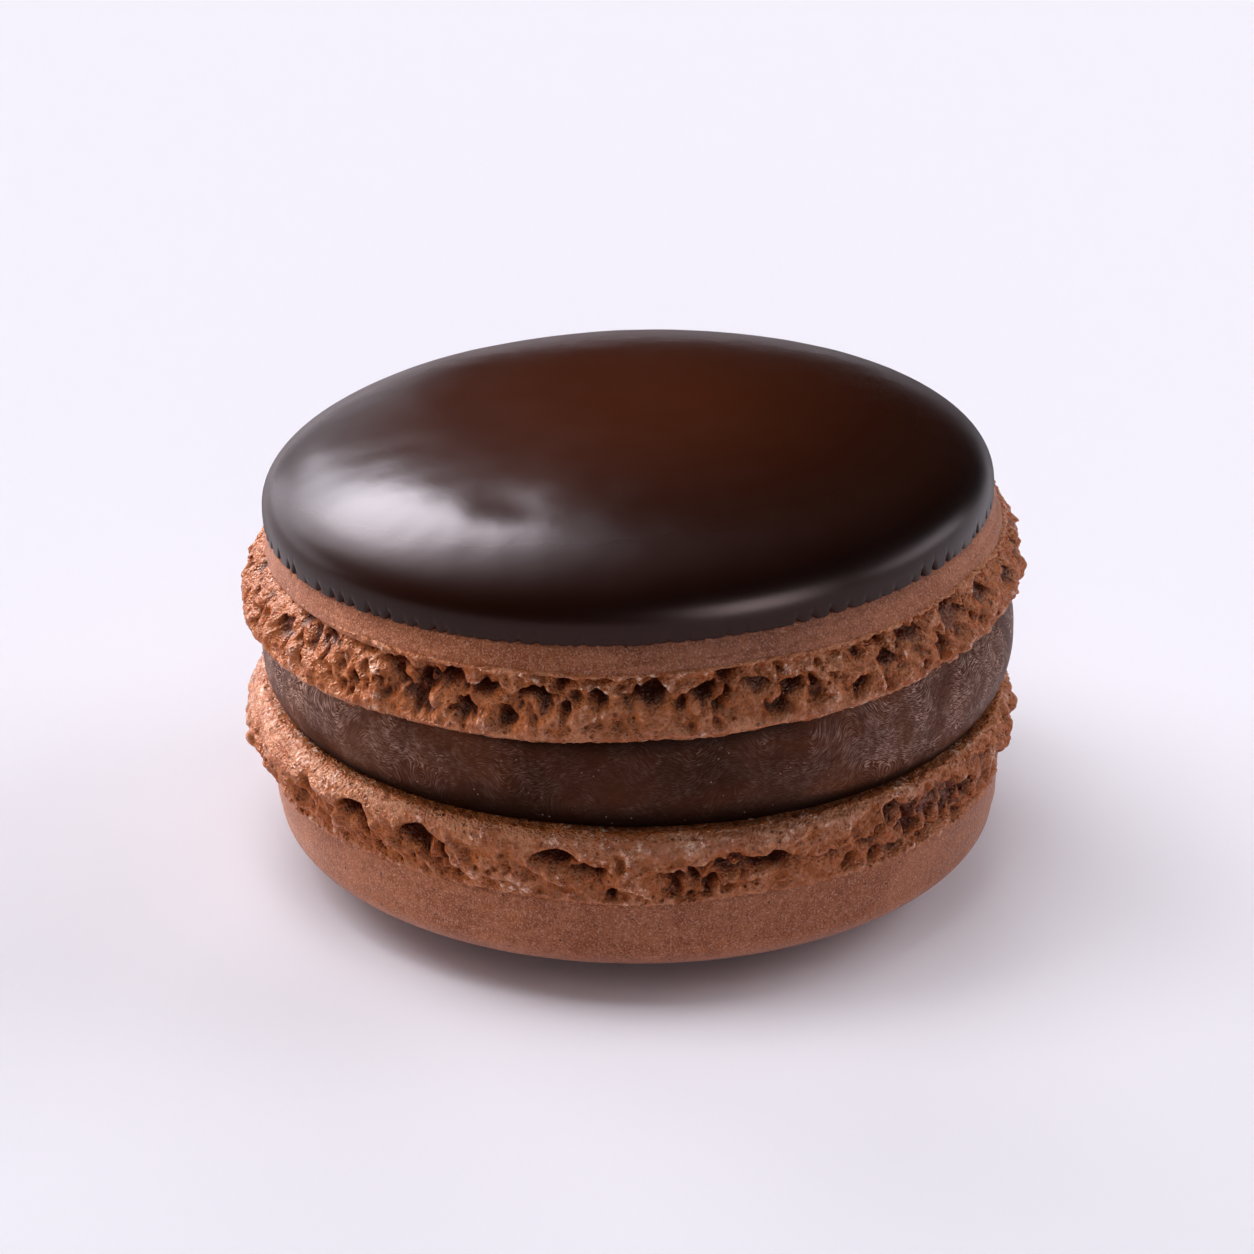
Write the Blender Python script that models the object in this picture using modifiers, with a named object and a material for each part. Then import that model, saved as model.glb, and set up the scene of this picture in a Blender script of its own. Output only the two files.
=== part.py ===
# Chocolate macaron: two baked almond shells with craggy feet, a thick band of ganache between
# them and a dark chocolate coating over the top shell.
# Metres, +Z up. The origin is under the middle of the macaron, on the surface it rests on.
# The front is -Y. The upper shell leans, with its right side (+X) raised by thicker ganache.

import math
import random

import bpy
from mathutils import Vector, noise

MM = 0.001

# Heights of the stack at its middle
LOWER_LIP_HEIGHT = 11.25 * MM
UPPER_LIP_HEIGHT = 16.8 * MM
UPPER_LEAN = math.radians(2.3)
LOWER_SHIFT = 0.15 * MM
UPPER_SHIFT = -0.15 * MM
GAP = 0.3 * MM

# Lower shell, measured down from its lip
LOWER_LIP_RADIUS = 21.5 * MM
LOWER_FOOT_RADIUS = 21.95 * MM
LOWER_FOOT_HEIGHT = 4.4 * MM
LOWER_CREASE_RADIUS = 20.75 * MM
LOWER_DOME_RADIUS = 20.55 * MM
LOWER_DOME_START = 6.95 * MM
LOWER_DOME_RISE = 4.4 * MM
LOWER_DOME_SQUARENESS = 2.3
REST_SPOT_RADIUS = 6.0 * MM

# Upper shell, measured up from its lip
UPPER_LIP_RADIUS = 21.8 * MM
UPPER_FOOT_RADIUS = 22.1 * MM
UPPER_FOOT_HEIGHT = 3.85 * MM
UPPER_CREASE_RADIUS = 20.95 * MM
BAND_TOP_HEIGHT = 4.9 * MM
BAND_TOP_RADIUS = 20.3 * MM

# Chocolate coating over the upper shell
COATING_RADIUS = 20.6 * MM
COATING_THICKNESS = 0.75 * MM
COATING_DOME_START = 5.55 * MM
COATING_DOME_RISE = 4.8 * MM
COATING_SQUARENESS = 2.55
COATING_EDGE_RADIUS = 20.4 * MM

# Ganache filling
GANACHE_RADIUS = 21.0 * MM
GANACHE_END_RADIUS = 20.3 * MM

# Relief of the feet
LUMP_DEPTH = 0.45 * MM
LUMP_SIZE = 2.4 * MM
SMALL_LUMP_DEPTH = 0.25 * MM
SMALL_LUMP_SIZE = 1.3 * MM
CREASE_WANDER = 0.35 * MM

SHELL_SEGMENTS = 108
SMOOTH_SEGMENTS = 90


def clear_scene():
    for item in list(bpy.data.objects):
        bpy.data.objects.remove(item, do_unlink=True)


def make_collection(name):
    collection = bpy.data.collections.new(name)
    bpy.context.scene.collection.children.link(collection)
    return collection


def make_material(name, colour, roughness, coat=0.0):
    material = bpy.data.materials.new(name)
    material.use_nodes = True
    shader = material.node_tree.nodes["Principled BSDF"]
    shader.inputs["Base Color"].default_value = (*colour, 1.0)
    shader.inputs["Roughness"].default_value = roughness
    shader.inputs["Metallic"].default_value = 0.0
    shader.inputs["Coat Weight"].default_value = coat
    material.diffuse_color = (*colour, 1.0)
    return material


def dome_height(radius, edge_radius, start, rise, squareness):
    """Height of a dome that is flatter on top and rounder at its edge than a ball."""
    share = min(1.0, radius / edge_radius)
    return start + rise * (1.0 - share ** squareness) ** (1.0 / squareness)


def dome_radii(edge_radius, inner_radius, count):
    """Radii from the dome's edge inwards, closer together where the dome curves most."""
    inner_angle = math.acos(inner_radius / edge_radius)
    angles = [inner_angle * step / count for step in range(count + 1)]
    return [edge_radius * math.cos(angle) ** 0.8 for angle in angles[:-1]] + [inner_radius]


def turned(name, profile, segments, collection):
    """A solid turned about Z from (radius, height) points that run down its outer side."""
    mesh = bpy.data.meshes.new(name + "_profile")
    edges = [(step, step + 1) for step in range(len(profile) - 1)]
    mesh.from_pydata([(radius, 0.0, height) for radius, height in profile], edges, [])
    guide = bpy.data.objects.new(name + "_profile", mesh)
    collection.objects.link(guide)
    screw = guide.modifiers.new("Turn", "SCREW")
    screw.axis = "Z"
    screw.angle = math.tau
    screw.steps = segments
    screw.render_steps = segments
    screw.use_merge_vertices = True
    screw.merge_threshold = 0.00001
    screw.use_smooth_shade = True
    bpy.context.view_layer.update()
    evaluated = guide.evaluated_get(bpy.context.evaluated_depsgraph_get())
    solid_mesh = bpy.data.meshes.new_from_object(evaluated)
    solid_mesh.name = name
    bpy.data.objects.remove(guide, do_unlink=True)
    solid = bpy.data.objects.new(name, solid_mesh)
    collection.objects.link(solid)
    return solid


def foot_profile(lip_radius, foot_radius, foot_height, crease_radius):
    """The shell's edge from its flat lip out over the foot and in to the crease."""
    points = [(0.0, 0.0), (lip_radius - 1.0 * MM, 0.0), (lip_radius, 0.12 * MM)]
    rings = 7
    for step in range(1, rings + 1):
        share = step / (rings + 1)
        swell = math.sin(math.pi * min(1.0, 0.25 + 0.75 * share))
        inner = lip_radius + (crease_radius - lip_radius) * share
        points.append((inner + (foot_radius - lip_radius + 0.45 * MM) * swell, foot_height * share))
    points.append((crease_radius, foot_height))
    return points


def seeded_caves(seed, start_angle, end_angle, spacing, height_share):
    """Holes along the part of the foot that is out of sight from the front."""
    draw = random.Random(seed)
    caves = []
    angle = start_angle
    while angle < end_angle:
        height = height_share + draw.uniform(-0.14, 0.14)
        caves.append((angle, height, draw.uniform(0.7, 1.5), draw.uniform(0.5, 0.8), draw.uniform(0.4, 0.9)))
        angle += spacing * draw.uniform(0.6, 1.5)
    return caves


# Each cave is an angle from the front in degrees, positive to the right, its height as a share of
# the foot, and its half width, half height and depth in millimetres.
UPPER_CAVES = [
    (-58, 0.75, 0.7, 0.6, 0.6),
    (-50, 0.75, 1.0, 0.7, 0.8),
    (-36, 0.74, 1.1, 0.6, 0.7),
    (-32, 0.40, 0.9, 0.6, 0.6),
    (-26, 0.70, 1.0, 0.6, 1.0),
    (-21, 0.64, 1.1, 0.5, 1.1),
    (-13, 0.62, 1.3, 0.5, 0.8),
    (3, 0.62, 0.9, 0.8, 1.4),
    (10, 0.62, 0.9, 0.7, 1.0),
    (18, 0.60, 1.4, 0.6, 0.7),
    (34, 0.30, 0.8, 0.6, 0.6),
    (39, 0.50, 1.1, 0.7, 0.8),
    (45, 0.66, 1.3, 0.7, 0.8),
] + seeded_caves(11, 54, 300, 8, 0.62)
LOWER_CAVES = [
    (-57, 0.50, 0.8, 0.5, 0.6),
    (-45, 0.36, 1.1, 0.7, 1.0),
    (-33, 0.42, 1.2, 0.9, 1.3),
    (-11, 0.38, 1.3, 0.6, 1.2),
    (-6, 0.54, 1.1, 0.5, 1.0),
    (6, 0.62, 1.0, 0.5, 0.9),
    (14, 0.58, 1.2, 0.4, 0.8),
    (20, 0.52, 1.6, 0.6, 1.3),
    (30, 0.60, 1.3, 0.4, 0.8),
    (36, 0.60, 1.2, 0.4, 0.7),
    (43, 0.52, 0.9, 0.6, 0.9),
] + seeded_caves(12, 54, 300, 8, 0.56)


def angle_from_front(point):
    return math.degrees(math.atan2(point.x, -point.y))


def cave_depth(point, share, foot_height, caves):
    """How far the caves push a point of the foot inwards."""
    turn = angle_from_front(point)
    radius = math.hypot(point.x, point.y)
    depth = 0.0
    for angle, height, half_width, half_height, cave in caves:
        across = math.radians((turn - angle + 180.0) % 360.0 - 180.0) * radius / (half_width * MM)
        along = (share - height) * foot_height / (half_height * MM)
        depth = max(depth, cave * MM * math.exp(-(across ** 2 + along ** 2)))
    return depth


def roughen_foot(solid, lip_height, direction, foot_height, caves, seed):
    """Gives the foot its lumps and caves, and lets the crease above it wander."""
    offset = Vector((seed * 7.3, seed * 3.1, seed * 5.7))
    for vertex in solid.data.vertices:
        point = vertex.co
        radius = math.hypot(point.x, point.y)
        share = (point.z - lip_height) * direction / foot_height
        if share < 0.01 or share > 1.5 or radius < BAND_TOP_RADIUS - 0.2 * MM:
            continue
        outward = Vector((point.x / radius, point.y / radius, 0.0))
        fade = min(1.0, share / 0.2) * max(0.0, min(1.0, (1.15 - share) / 0.3))
        lumps = LUMP_DEPTH * noise.noise(point / LUMP_SIZE + offset)
        lumps += SMALL_LUMP_DEPTH * noise.noise(point / SMALL_LUMP_SIZE - offset)
        push = fade * lumps - cave_depth(point, share, foot_height, caves) * min(1.0, fade * 1.5)
        slow = outward * 3.0
        wander = CREASE_WANDER * noise.noise(slow + offset)
        lift = wander * math.sin(math.pi * min(1.0, share / 1.5))
        vertex.co = point + outward * push + Vector((0.0, 0.0, lift * direction))


def lower_shell(collection):
    points = foot_profile(LOWER_LIP_RADIUS, LOWER_FOOT_RADIUS, LOWER_FOOT_HEIGHT, LOWER_CREASE_RADIUS)
    points.append((LOWER_DOME_RADIUS + 0.12 * MM, (LOWER_FOOT_HEIGHT + LOWER_DOME_START) / 2))
    for radius in dome_radii(LOWER_DOME_RADIUS, REST_SPOT_RADIUS, 8):
        height = dome_height(radius, LOWER_DOME_RADIUS, LOWER_DOME_START, LOWER_DOME_RISE, LOWER_DOME_SQUARENESS)
        points.append((radius, height))
    points[-1] = (REST_SPOT_RADIUS, LOWER_LIP_HEIGHT)
    points.append((0.0, LOWER_LIP_HEIGHT))
    profile = [(radius, LOWER_LIP_HEIGHT - depth) for radius, depth in points]
    shell = turned("lower_shell", profile, SHELL_SEGMENTS, collection)
    roughen_foot(shell, LOWER_LIP_HEIGHT, -1.0, LOWER_FOOT_HEIGHT, LOWER_CAVES, 2)
    shell.location.x = LOWER_SHIFT
    return shell


def upper_shell(collection, lean):
    inset = COATING_THICKNESS + GAP
    dome_radius = COATING_RADIUS - inset
    points = foot_profile(UPPER_LIP_RADIUS, UPPER_FOOT_RADIUS, UPPER_FOOT_HEIGHT, UPPER_CREASE_RADIUS)
    points.append((BAND_TOP_RADIUS, BAND_TOP_HEIGHT))
    points.append((dome_radius, BAND_TOP_HEIGHT + 0.05 * MM))
    for radius in dome_radii(dome_radius, 4.0 * MM, 6):
        height = dome_height(radius, dome_radius, COATING_DOME_START, COATING_DOME_RISE - inset, COATING_SQUARENESS)
        points.append((radius, height))
    points.append((0.0, COATING_DOME_START + COATING_DOME_RISE - inset))
    profile = [(radius, height) for radius, height in reversed(points)]
    shell = turned("upper_shell", profile, SHELL_SEGMENTS, collection)
    roughen_foot(shell, 0.0, 1.0, UPPER_FOOT_HEIGHT, UPPER_CAVES, 5)
    shell.parent = lean
    return shell


def dent(point):
    """The shallow kink in the coating, left of the middle near its front."""
    place = Vector((-6.6 * MM, -11.5 * MM))
    reach = 2.6 * MM
    away = (Vector((point.x, point.y)) - place).length / reach
    return 0.16 * MM * math.exp(-away ** 2)


def chocolate_coating(collection, lean):
    outer = [(0.0, COATING_DOME_START + COATING_DOME_RISE)]
    for radius in reversed(dome_radii(COATING_RADIUS, 4.0 * MM, 8)):
        height = dome_height(radius, COATING_RADIUS, COATING_DOME_START, COATING_DOME_RISE, COATING_SQUARENESS)
        outer.append((radius, height))
    edge_height = BAND_TOP_HEIGHT + 0.05 * MM + GAP
    inner_radius = COATING_RADIUS - COATING_THICKNESS
    rim = [(COATING_EDGE_RADIUS, edge_height + 0.1 * MM), (COATING_EDGE_RADIUS - 0.2 * MM, edge_height)]
    rim.append((inner_radius, edge_height))
    inner = []
    for radius in dome_radii(inner_radius, 4.0 * MM, 5):
        rise = COATING_DOME_RISE - COATING_THICKNESS
        height = dome_height(radius, inner_radius, COATING_DOME_START, rise, COATING_SQUARENESS)
        inner.append((radius, height))
    inner.append((0.0, COATING_DOME_START + COATING_DOME_RISE - COATING_THICKNESS))
    coating = turned("chocolate_coating", outer + rim + inner, SMOOTH_SEGMENTS, collection)
    outer_side = COATING_DOME_RISE - COATING_THICKNESS / 2
    for vertex in coating.data.vertices:
        point = vertex.co
        radius = math.hypot(point.x, point.y)
        middle = dome_height(radius, COATING_RADIUS, COATING_DOME_START, outer_side, COATING_SQUARENESS)
        if point.z > middle and radius < COATING_EDGE_RADIUS:
            wave = 0.06 * MM * noise.noise(point / (7.0 * MM))
            vertex.co.z = point.z + wave - dent(point)
    coating.parent = lean
    return coating


def ganache_filling(collection):
    bottom = LOWER_LIP_HEIGHT + GAP
    top = UPPER_LIP_HEIGHT - GAP
    profile = [(0.0, top)]
    rings = 7
    for step in range(rings + 1):
        share = step / rings
        bulge = math.sin(math.pi * (0.04 + 0.92 * share)) ** 0.7
        radius = GANACHE_END_RADIUS + (GANACHE_RADIUS - GANACHE_END_RADIUS) * bulge
        profile.append((radius, top + (bottom - top) * share))
    profile.append((0.0, bottom))
    filling = turned("ganache_filling", profile, SMOOTH_SEGMENTS, collection)
    for vertex in filling.data.vertices:
        point = vertex.co
        share = (point.z - bottom) / (top - bottom)
        unevenness = 0.12 * MM * noise.noise(point / (6.0 * MM)) * math.sin(math.pi * share)
        radius = math.hypot(point.x, point.y)
        if radius > 0.0:
            point = point * (1.0 + unevenness / radius) - Vector((0.0, 0.0, point.z * unevenness / radius))
        lift = (point.x - UPPER_SHIFT) * math.tan(UPPER_LEAN) * share
        vertex.co = point + Vector((0.0, 0.0, lift))
    return filling


def finish(solid, material):
    solid.data.materials.clear()
    solid.data.materials.append(material)
    solid.data.shade_smooth()
    solid.data.set_sharp_from_angle(angle=math.radians(50))


def build():
    clear_scene()
    collection = make_collection("chocolate_macaron")
    shell_brown = make_material("almond_shell", (0.23, 0.095, 0.055), 0.8)
    coating_brown = make_material("dark_coating", (0.035, 0.013, 0.007), 0.3, 0.2)
    ganache_brown = make_material("ganache", (0.055, 0.022, 0.013), 0.5)
    lean = bpy.data.objects.new("upper_half", None)
    lean.location = (UPPER_SHIFT, 0.0, UPPER_LIP_HEIGHT)
    lean.rotation_euler = (0.0, -UPPER_LEAN, 0.0)
    collection.objects.link(lean)
    finish(lower_shell(collection), shell_brown)
    finish(ganache_filling(collection), ganache_brown)
    finish(upper_shell(collection, lean), shell_brown)
    finish(chocolate_coating(collection, lean), coating_brown)


build()
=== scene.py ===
import bisect
import math
import random

import bmesh
import bpy
from mathutils import Matrix, Vector, kdtree, noise


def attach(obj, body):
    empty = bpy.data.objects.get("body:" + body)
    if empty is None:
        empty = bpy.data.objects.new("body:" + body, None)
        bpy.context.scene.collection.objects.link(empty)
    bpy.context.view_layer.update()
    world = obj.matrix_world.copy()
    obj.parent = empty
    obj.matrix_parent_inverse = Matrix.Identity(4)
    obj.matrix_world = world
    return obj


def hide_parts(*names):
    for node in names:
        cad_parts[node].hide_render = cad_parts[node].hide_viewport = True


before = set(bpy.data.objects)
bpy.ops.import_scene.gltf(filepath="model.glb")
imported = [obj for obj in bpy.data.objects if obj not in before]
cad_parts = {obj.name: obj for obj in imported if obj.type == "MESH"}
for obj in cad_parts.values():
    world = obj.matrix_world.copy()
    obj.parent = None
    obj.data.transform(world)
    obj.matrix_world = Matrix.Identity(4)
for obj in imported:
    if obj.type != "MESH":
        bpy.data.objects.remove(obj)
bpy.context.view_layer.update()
mm = 0.001
noise.seed_set(3)        # vector noise starts from the clock unless it gets a number

stack = {
    "lowerLip": 11.25,      # height of the lower shell's flat lip above the table
    "upperLip": 16.8,       # height of the upper shell's flat lip at its middle
    "lean": 2.3,            # the upper shell is higher on the right
    "lowerShift": 0.15,
    "lowerFootShift": -0.05,
    "upperShift": -0.15,
}
leanPlace = Matrix.Translation((stack["upperShift"], 0.0, stack["upperLip"])) @ Matrix.Rotation(
    -math.radians(stack["lean"]), 4, "Y")
lowerPlace = Matrix.Translation((stack["lowerShift"], 0.0, 0.0))
lowerFootPlace = Matrix.Translation((stack["lowerFootShift"], 0.0, 0.0))


def smoothStep(low, high, value):
    # also runs downwards, when low is the higher of the two
    share = max(0.0, min(1.0, (value - low) / (high - low)))
    return share * share * (3.0 - 2.0 * share)


def domeHeight(radius, edgeRadius, start, rise, squareness):
    share = min(1.0, radius / edgeRadius)
    return start + rise * (1.0 - share ** squareness) ** (1.0 / squareness)


def domeRadii(edgeRadius, innerRadius, count):
    # closer together near the edge, where the dome turns down
    endAngle = math.acos(innerRadius / edgeRadius)
    angles = [endAngle * step / count for step in range(count)]
    return [edgeRadius * math.cos(angle) ** 0.9 for angle in angles] + [innerRadius]


def turnProfile(profile, sectorSteps, isRing=False, doublings=5):
    # spins (radius, height) points through one sector, then doubles the sector until the turn is full
    body = bmesh.new()
    points = [body.verts.new((radius, 0.0, height)) for radius, height in profile]
    edges = [body.edges.new(pair) for pair in zip(points, points[1:])]
    if isRing:
        edges.append(body.edges.new((points[-1], points[0])))
    sector = math.tau / 2 ** doublings
    bmesh.ops.spin(body, geom=points + edges, cent=(0, 0, 0), axis=(0, 0, 1), angle=sector,
                   steps=sectorSteps)
    for doubling in range(doublings):
        copied = bmesh.ops.duplicate(body, geom=body.verts[:] + body.edges[:] + body.faces[:])["geom"]
        copiedVerts = [part for part in copied if isinstance(part, bmesh.types.BMVert)]
        bmesh.ops.rotate(body, cent=(0, 0, 0), matrix=Matrix.Rotation(sector * 2 ** doubling, 3, "Z"),
                         verts=copiedVerts)
    bmesh.ops.remove_doubles(body, verts=body.verts, dist=0.0004)
    bmesh.ops.recalc_face_normals(body, faces=body.faces)
    return body


def finishPiece(body, name, place, node, material):
    bmesh.ops.transform(body, matrix=Matrix.Scale(mm, 4) @ place, verts=body.verts)
    mesh = bpy.data.meshes.new(name)
    body.to_mesh(mesh)
    body.free()
    mesh.shade_smooth()
    mesh.materials.append(material)
    piece = bpy.data.objects.new(name, mesh)
    bpy.context.scene.collection.objects.link(piece)
    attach(piece, "root")
    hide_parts(node)
    print("made", name, len(mesh.vertices), "points")
    return piece


# Materials are built from small node helpers. Patterns lie on the object, and the scale of a
# pattern is its repeats in a millimetre.
def newMaterial(name):
    material = bpy.data.materials.new(name)
    material.use_nodes = True
    tree = material.node_tree
    coordinates = tree.nodes.new("ShaderNodeTexCoord")
    inMillimetres = tree.nodes.new("ShaderNodeMapping")
    inMillimetres.inputs["Scale"].default_value = (1.0 / mm, 1.0 / mm, 1.0 / mm)
    tree.links.new(coordinates.outputs["Object"], inMillimetres.inputs["Vector"])
    return material, tree, tree.nodes["Principled BSDF"], inMillimetres.outputs["Vector"]


def setPlain(shader, values):
    for name, value in values.items():
        shader.inputs[name].default_value = value


def noiseAt(tree, vector, scale, detail=2.0, roughness=0.5, distortion=0.0):
    texture = tree.nodes.new("ShaderNodeTexNoise")
    texture.inputs["Scale"].default_value = scale
    texture.inputs["Detail"].default_value = detail
    texture.inputs["Roughness"].default_value = roughness
    texture.inputs["Distortion"].default_value = distortion
    tree.links.new(vector, texture.inputs["Vector"])
    return texture.outputs["Fac"]


def remap(tree, value, low, high, toLow=0.0, toHigh=1.0):
    node = tree.nodes.new("ShaderNodeMapRange")
    node.interpolation_type = "SMOOTHSTEP"
    node.inputs["From Min"].default_value = low
    node.inputs["From Max"].default_value = high
    node.inputs["To Min"].default_value = toLow
    node.inputs["To Max"].default_value = toHigh
    tree.links.new(value, node.inputs["Value"])
    return node.outputs["Result"]


def spotsAt(tree, vector, scale, low, high):
    # small round spots: 1 at their middle, 0 outside
    texture = tree.nodes.new("ShaderNodeTexVoronoi")
    texture.inputs["Scale"].default_value = scale
    tree.links.new(vector, texture.inputs["Vector"])
    return remap(tree, texture.outputs["Distance"], low, high, 1.0, 0.0)


def calculate(tree, operation, first, second):
    node = tree.nodes.new("ShaderNodeMath")
    node.operation = operation
    for socket, value in zip(node.inputs, (first, second)):
        if isinstance(value, (int, float)):
            socket.default_value = value
        else:
            tree.links.new(value, socket)
    return node.outputs["Value"]


def times(tree, first, second):
    return calculate(tree, "MULTIPLY", first, second)


def plus(tree, first, second):
    return calculate(tree, "ADD", first, second)


def mixColours(tree, factor, first, second):
    node = tree.nodes.new("ShaderNodeMix")
    node.data_type = "RGBA"
    for name, value in (("Factor", factor), ("A", first), ("B", second)):
        if isinstance(value, (int, float)):
            node.inputs[name].default_value = value
        elif isinstance(value, tuple):
            node.inputs[name].default_value = (*value, 1.0)
        else:
            tree.links.new(value, node.inputs[name])
    return node.outputs["Result"]


def attributeValue(tree, name):
    node = tree.nodes.new("ShaderNodeAttribute")
    node.attribute_name = name
    return node.outputs["Fac"]


def bumpFrom(tree, height, strength, distance):
    node = tree.nodes.new("ShaderNodeBump")
    node.inputs["Strength"].default_value = strength
    node.inputs["Distance"].default_value = distance * mm
    tree.links.new(height, node.inputs["Height"])
    return node.outputs["Normal"]


skinLooks = {
    "pale": (0.37, 0.125, 0.057),
    "deep": (0.25, 0.072, 0.029),
    "patch": (0.38, 0.110, 0.037),      # faint orange patches in the skin
    "pore": (0.060, 0.020, 0.010),
    "dust": (0.60, 0.32, 0.23),
    # how strongly each shows
    "patchShare": 0.55,
    "pitShare": 0.55,
    "poreShare": 0.75,
    "dustShare": 0.60,
    "pores": (1.1, 0.05, 0.115),        # spots: scale, inner and outer edge
    "roughness": (0.42, 0.60),
    "bump": (0.7, 0.06),                # strength, depth
    "plain": {"Specular IOR Level": 0.10, "Sheen Weight": 0.13, "Sheen Roughness": 0.45},
}


def skinMaterial():
    # the smooth matte skin of the shells, with fine pores and pale dust
    look = skinLooks
    material, tree, shader, place = newMaterial("almondSkin")
    broad = noiseAt(tree, place, 0.30, 3.0, 0.6)
    fine = noiseAt(tree, place, 2.4, 4.0, 0.68)
    grain = noiseAt(tree, place, 9.0, 2.0, 0.7)
    blend = plus(tree, broad, times(tree, fine, 1.3))
    colour = mixColours(tree, remap(tree, blend, 0.92, 1.38), look["deep"], look["pale"])
    patches = remap(tree, noiseAt(tree, place, 1.15), 0.58, 0.72, 0.0, look["patchShare"])
    colour = mixColours(tree, patches, colour, look["patch"])
    pits = remap(tree, grain, 0.54, 0.70, 0.0, look["pitShare"])
    colour = mixColours(tree, pits, colour, look["pore"])
    dust = remap(tree, grain, 0.48, 0.33, 0.0, look["dustShare"])
    colour = mixColours(tree, dust, colour, look["dust"])
    pores = spotsAt(tree, place, *look["pores"])
    colour = mixColours(tree, times(tree, pores, look["poreShare"]), colour, look["pore"])
    tree.links.new(colour, shader.inputs["Base Color"])
    tree.links.new(remap(tree, fine, 0.3, 0.7, *look["roughness"]), shader.inputs["Roughness"])
    height = calculate(tree, "SUBTRACT", grain, times(tree, pores, 1.6))
    height = plus(tree, height, times(tree, fine, 1.2))
    tree.links.new(bumpFrom(tree, height, *look["bump"]), shader.inputs["Normal"])
    setPlain(shader, look["plain"])
    return material


footLooks = {
    "pale": (0.50, 0.202, 0.100),
    "deep": (0.31, 0.084, 0.029),
    "amber": (0.36, 0.099, 0.026),      # thin baked foam lets orange light through
    # painted shade deep in the hollows, and the colour of the pores
    "dark": (0.090, 0.014, 0.003),
    # painted highlights and glints on the ridges
    "ridgeHighlight": (0.92, 0.66, 0.55),
    "glint": (1.0, 0.90, 0.82),
    "roughness": (0.13, 0.30),
    "cavityRoughness": 0.12,        # added in the hollows
    # how strongly each shows
    "amberShare": 0.9,
    "ridgeHighlightShare": 0.65,
    "poreShare": 0.70,
    # spots: scale, inner and outer edge
    "pores": (1.9, 0.10, 0.27),
    "glints": (3.1, 0.10, 0.24),
    "blisters": (5.5, 0.0, 0.6),
    "bump": (1.0, 0.11),
    "plain": {
        "Specular IOR Level": 0.30,
        "Specular Tint": (1.0, 0.72, 0.55, 1.0),
        "Subsurface Weight": 0.25,
        "Subsurface Radius": (1.0, 0.30, 0.10),
        "Subsurface Scale": 0.7 * mm,
    },
}


def footMaterial():
    # torn baked foam: amber patches, painted glow and painted shade in its hollows, painted highlights and
    # glints on its ridges
    look = footLooks
    material, tree, shader, place = newMaterial("almondFoot")
    cavity = attributeValue(tree, "cavity")
    ridge = attributeValue(tree, "ridge")
    broad = noiseAt(tree, place, 0.55, 3.0, 0.6)
    fine = noiseAt(tree, place, 3.0, 4.0, 0.7)
    grain = noiseAt(tree, place, 8.0, 2.0, 0.7)
    blend = remap(tree, plus(tree, broad, fine), 0.78, 1.20)
    colour = mixColours(tree, blend, look["deep"], look["pale"])
    patches = remap(tree, noiseAt(tree, place, 1.3, 2.0, 0.5, 0.4), 0.52, 0.70, 0.0, 0.8)
    # painted glow: the hollows are painted amber for light shining through the thin foam; the random
    # patches are amber tone of its own
    amber = plus(tree, remap(tree, cavity, 0.06, 0.28), patches)
    colour = mixColours(tree, times(tree, amber, look["amberShare"]), colour, look["amber"])
    # painted shade: the deepest hollows are painted dark
    colour = mixColours(tree, remap(tree, cavity, 0.38, 0.85), colour, look["dark"])
    # painted highlights: pale colour on the standing ridges
    ridgeHighlight = times(tree, remap(tree, ridge, 0.15, 0.8), remap(tree, fine, 0.45, 0.62))
    colour = mixColours(tree, times(tree, ridgeHighlight, look["ridgeHighlightShare"]), colour, look["ridgeHighlight"])
    pores = times(tree, spotsAt(tree, place, *look["pores"]), remap(tree, broad, 0.40, 0.56))
    colour = mixColours(tree, times(tree, pores, look["poreShare"]), colour, look["dark"])
    # painted glints: small pale spots on the ridges
    glints = times(tree, spotsAt(tree, place, *look["glints"]), remap(tree, grain, 0.50, 0.62))
    glints = times(tree, glints, remap(tree, ridge, 0.10, 0.45))
    colour = mixColours(tree, glints, colour, look["glint"])
    tree.links.new(colour, shader.inputs["Base Color"])
    roughness = remap(tree, fine, 0.35, 0.65, *look["roughness"])
    roughness = plus(tree, roughness, times(tree, cavity, look["cavityRoughness"]))
    tree.links.new(roughness, shader.inputs["Roughness"])
    height = times(tree, plus(tree, spotsAt(tree, place, *look["blisters"]), grain), 0.7)
    height = calculate(tree, "SUBTRACT", height, times(tree, pores, 1.5))
    tree.links.new(bumpFrom(tree, height, *look["bump"]), shader.inputs["Normal"])
    setPlain(shader, look["plain"])
    return material


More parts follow.
